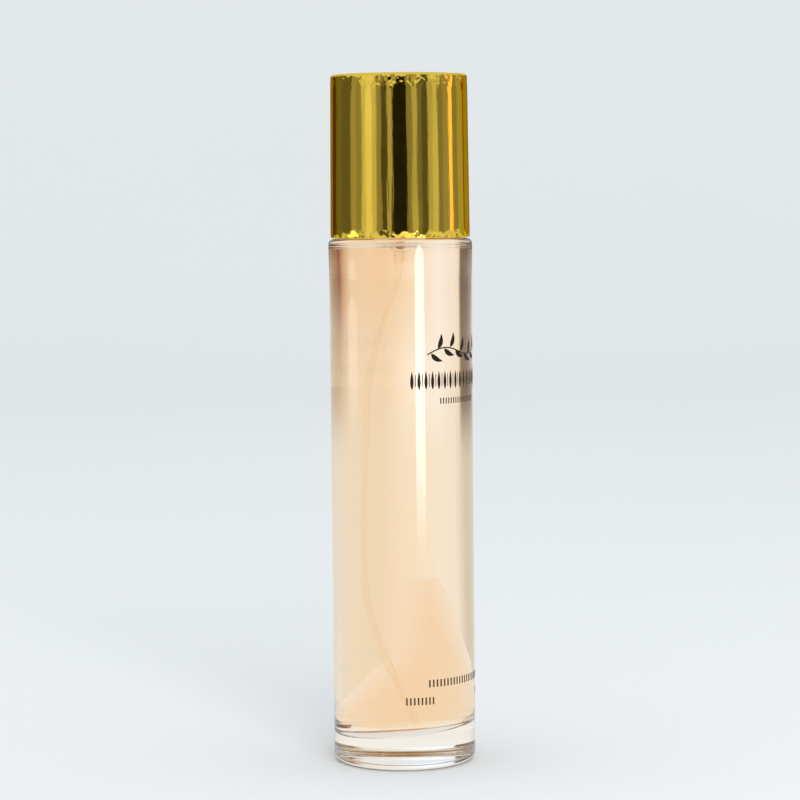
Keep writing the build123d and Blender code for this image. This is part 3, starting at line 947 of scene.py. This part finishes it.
def backdrop_light():
    """The paper's colours near the bottle, which turn into the room's colours beyond it."""
    material = glow("backdrop_light")
    nodes, links = material.node_tree.nodes, material.node_tree.links

    def node(kind, **settings):
        made = nodes.new("ShaderNode" + kind)
        for key, value in settings.items():
            setattr(made, key, value)
        return made

    place = node("TexCoord")
    split = node("SeparateXYZ")
    links.new(place.outputs["Object"], split.inputs["Vector"])
    flat = node("CombineXYZ")
    links.new(split.outputs["X"], flat.inputs["X"])
    links.new(split.outputs["Y"], flat.inputs["Y"])
    unit = node("VectorMath", operation="NORMALIZE")
    reach = node("VectorMath", operation="LENGTH")
    links.new(flat.outputs["Vector"], unit.inputs[0])
    links.new(flat.outputs["Vector"], reach.inputs[0])
    sideways = node("VectorMath", operation="DOT_PRODUCT")
    sideways.inputs[1].default_value = around(90, 1, 0)
    links.new(unit.outputs["Vector"], sideways.inputs[0])
    along = node("MapRange")
    along.inputs["From Min"].default_value = -RAMP_SPAN
    along.inputs["From Max"].default_value = RAMP_SPAN
    links.new(sideways.outputs["Value"], along.inputs["Value"])
    # The way out along the table and then up the wall
    path = node("Math", operation="ADD")
    links.new(split.outputs["Z"], path.inputs[0])
    links.new(reach.outputs["Value"], path.inputs[1])

    def ramp_colour(stops):
        ramp = colour_ramp(nodes, stops)
        links.new(along.outputs["Result"], ramp.inputs["Fac"])
        return ramp.outputs["Color"]

    colour = ramp_colour(PAPER)
    layers = [
        (ROOM_FOOT, STAGE_R - PAPER_FADE, STAGE_R),
        (ROOM, STAGE_R, STAGE_R + FOOT_FADE),
    ]
    for stops, start, end in layers:
        fade = node("MapRange", interpolation_type="SMOOTHSTEP")
        fade.inputs["From Min"].default_value = start
        fade.inputs["From Max"].default_value = end
        links.new(path.outputs["Value"], fade.inputs["Value"])
        mix = node("Mix", data_type="RGBA")
        links.new(fade.outputs["Result"], mix.inputs["Factor"])
        links.new(colour, mix.inputs[MIX_A])
        links.new(ramp_colour(stops), mix.inputs[MIX_B])
        colour = mix.outputs[MIX_RESULT]
    links.new(colour, nodes["Emission"].inputs["Color"])
    return material


def backdrop():
    """What the glass and the perfume see: a lit table all round, and a wall at the back."""
    steps = 96
    line = [(0.002, TABLE_Z), (0.4 * STAGE_R, TABLE_Z), (STAGE_R, TABLE_Z), (STAGE_R, STAGE_TOP)]
    verts, faces = [], []
    for distance, height in line:
        for i in range(steps):
            verts.append(around(360 * i / steps, distance, height))
    for ring in range(len(line) - 1):
        for i in range(steps):
            behind = abs(i + 0.5 - steps / 2) * 360 / steps < WALL_SIDE
            if ring < 2 or behind:
                j = (i + 1) % steps
                low, high = ring * steps, (ring + 1) * steps
                faces.append((low + i, low + j, high + j, high + i))
    item = stage_mesh("backdrop", verts, faces, backdrop_light())
    only_in_glass(item, glossy=False)


def own_shadow():
    """The peach shadow that the bottle throws behind it, seen through the perfume. Its edge is
    softened by layers that shrink as they deepen."""
    columns = 8
    paper = dict(PAPER)[0]
    for layer in range(SHADOW_LAYERS):
        depth = (layer + 1) / SHADOW_LAYERS
        margin = SHADOW_SOFTNESS * (1 - 2 * layer / (SHADOW_LAYERS - 1))
        height = TABLE_Z * (1 - depth / 2)
        verts, faces = [], []
        for distance, left, right in SHADOW:
            reach = distance * (1 + 0.01 * margin)
            low, high = left - margin, right + margin
            if high < low:
                low = high = (low + high) / 2
            for i in range(columns + 1):
                angle = low + (high - low) * i / columns
                verts.append(around(180 - angle, reach, height))
        for row in range(len(SHADOW) - 1):
            for i in range(columns):
                a = (columns + 1) * row + i
                b = a + columns + 1
                faces.append((a, a + 1, b + 1, b))
        colour = [bare + (tint - bare) * depth for bare, tint in zip(paper, SHADOW_TINT)]
        name = f"own_shadow_{layer}"
        only_in_glass(stage_mesh(name, verts, faces, glow(name, colour)), glossy=False)


def cards():
    """The surroundings that the cap mirrors. A band is
    (azimuth from the camera in degrees, width in degrees, brightness)."""
    bands = [
        (-121, 18, 0.19),
        (-100, 24, 0.15),
        (-82, 12, 0.42),
        (-70.5, 11, 0.33),
        (-61, 8, 0.75),
        (-51.5, 11, 1.0),
        (-42, 8, 0.7),
        (-34, 8, 0.33),
        (-25, 10, 0.09),
        (-16, 8, 0.50),
        (0, 24, 0.015),
        (16.5, 9, 0.28),
        (25.5, 9, 0.55),
        (34, 8, 0.2),
        (43, 10, 0.11),
        (52.5, 9, 0.55),
        (62, 10, 0.72),
        (72, 10, 0.27),
        (83.5, 13, 0.38),
        (105, 14, 0.3),
        (121, 18, 0.46),
    ]
    for i, (azimuth, width, brightness) in enumerate(bands):
        card(f"band_{i}", azimuth, width, (brightness, brightness, brightness))
    card("orange_band", 94, 8, (1.7, 1.05, 0.76))
    card("dark_left", -139, 18, (0.10, 0.055, 0.06))
    card("red_right", 133, 5, (0.30, 0.08, 0.06))
    card("brown_right", 144, 17, (0.40, 0.38, 0.27))
    card("dim_left", -164, 31, (0.30, 0.27, 0.22))
    card("dim_right", 166, 27, (0.34, 0.30, 0.24))
    streak_card("streak", 29.5, 15, -0.004, 0.128, 0.06, 9.0)
    streak_card("side_streak", -84, 20, 0.045, 0.106, 0.085, 2.2)


def floor():
    """A pale sweep that curves up behind the bottle."""
    material, principled = shader("pale_floor", (0.83, 0.85, 0.865), 0.8, Specular_IOR_Level=0.0)
    drift = noise(material, 1.5, 2.0)
    vary_colour(material, principled, drift, (0.825, 0.845, 0.86), (0.84, 0.86, 0.875))
    front, back, bend, width, top, steps = -3.0, 1.6, 1.2, 8.0, 4.0, 24
    line = [(front, 0.0), (back, 0.0)]
    for i in range(1, steps + 1):
        angle = radians(90 * i / steps)
        line.append((back + bend * sin(angle), bend * (1 - cos(angle))))
    line.append((back + bend, top))
    drop = Vector((0, 0, FLOOR_DROP))
    ahead = around(180, 1, 0)
    side = ahead.cross(Vector((0, 0, 1)))
    verts, faces = [], []
    for along, height in line:
        for across in (-width / 2, width / 2):
            verts.append(ahead * along + side * across + Vector((0, 0, height)) + drop)
    for i in range(len(line) - 1):
        faces.append((2 * i, 2 * i + 2, 2 * i + 3, 2 * i + 1))
    sweep = stage_mesh("floor", verts, faces, material)
    for polygon in sweep.data.polygons:
        polygon.use_smooth = True


def softbox(name, azimuth, distance, height, size, energy):
    """A square soft light aimed at the bottle, that no reflection shows."""
    light = bpy.data.lights.new(name, "AREA")
    light.shape = "RECTANGLE"
    light.size = size
    light.size_y = size
    light.energy = energy
    item = bpy.data.objects.new(name, light)
    item.location = around(azimuth, distance, height)
    aim = Vector((0, 0, LIGHT_AIM)) - item.location
    item.rotation_euler = aim.to_track_quat("-Z", "Y").to_euler()
    item.visible_glossy = False
    item.visible_transmission = False
    bpy.context.scene.collection.objects.link(item)


def studio():
    """A pale floor, an even white surround and one soft light."""
    world = bpy.data.worlds.new("world")
    world.use_nodes = True
    background = world.node_tree.nodes["Background"]
    background.inputs["Color"].default_value = (0.97, 0.99, 1.0, 1)
    background.inputs["Strength"].default_value = 0.92
    bpy.context.scene.world = world
    floor()
    backdrop()
    own_shadow()
    cards()
    softbox("key", 14, 1.8, 0.95, 0.9, 16)


def camera():
    """At the bottle's height, looking slightly down, with a long lens."""
    lens = bpy.data.cameras.new("camera")
    lens.lens = CAMERA_LENS
    lens.sensor_width = CAMERA_SENSOR
    lens.clip_start = CAMERA_CLIP
    view = bpy.data.objects.new("camera", lens)
    yaw = Matrix.Rotation(radians(CAMERA_YAW), 3, "Z")
    ahead = yaw @ -around(0, 1, 0)
    right = ahead.cross(Vector((0, 0, 1)))
    pitch = radians(CAMERA_PITCH)
    forward = ahead * cos(pitch) - Vector((0, 0, sin(pitch)))
    up = ahead * sin(pitch) + Vector((0, 0, cos(pitch)))
    roll = radians(CAMERA_ROLL)
    x_axis = right * cos(roll) + up * sin(roll)
    y_axis = up * cos(roll) - right * sin(roll)
    turn = Matrix((x_axis, y_axis, -forward)).transposed()
    place = around(0, CAMERA_DISTANCE, CAMERA_HEIGHT)
    view.matrix_world = Matrix.Translation(place) @ turn.to_4x4()
    bpy.context.scene.collection.objects.link(view)
    bpy.context.scene.camera = view


def render_look():
    """Plain colours, and enough bounces for thick glass."""
    scene = bpy.context.scene
    scene.view_settings.view_transform = "Standard"
    scene.cycles.max_bounces = LIGHT_BOUNCES
    scene.cycles.transmission_bounces = LIGHT_BOUNCES
    scene.cycles.glossy_bounces = LIGHT_BOUNCES


camera()
dress_cad_nodes()
glass_bottle()
perfume_body()
gold_cap()
gold_collar()
pump_springs()
front_print()
studio()
render_look()
